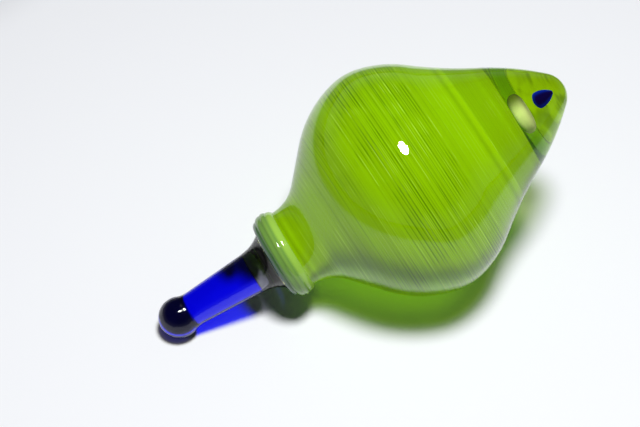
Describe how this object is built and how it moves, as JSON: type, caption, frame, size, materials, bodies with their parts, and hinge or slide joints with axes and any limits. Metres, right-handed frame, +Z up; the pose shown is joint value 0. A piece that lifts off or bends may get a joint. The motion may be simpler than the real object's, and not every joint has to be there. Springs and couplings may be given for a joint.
{
  "type": "stoppered glass bulb",
  "caption": "Hollow clear-cased green glass bulb with a ribbed lip and a pointed solid nose, closed by a pull-out blue glass stopper with a ball end.",
  "frame": {"origin": "on the floor plane under the middle of the bounding box, lying at rest", "axes": "+Z up; +X from the ball end towards the tip, with the long axis in the XZ plane rising 21.2 degrees; +Y completes the right hand"},
  "size_m": [0.0868, 0.048, 0.0463],
  "materials": {
    "clear_glass": "polished, clear",
    "green_glass": "polished, lime green with fine darker cane lines",
    "blue_glass": "polished, cobalt blue",
    "opal_glass": "opal, pale cream"
  },
  "bodies": {
    "bulb": {"bulb_casing": "clear_glass", "cane_layer": "green_glass", "inner_lining": "clear_glass", "nose_gather": "clear_glass", "nose_bead": "blue_glass", "nose_pearl": "opal_glass", "lip_wrap_1": "green_glass", "lip_wrap_2": "green_glass", "lip_wrap_3": "green_glass", "lip_wrap_4": "green_glass"},
    "stopper": {"stopper_ball": "blue_glass", "stopper_stem": "blue_glass", "stopper_flare": "clear_glass", "stopper_plug": "blue_glass"}
  },
  "joints": [
    {"name": "stopper_pull", "type": "slide", "parent": "bulb", "child": "stopper", "axis": [-0.9326, 0, -0.361], "range_m": [0, 0.03]}
  ]
}
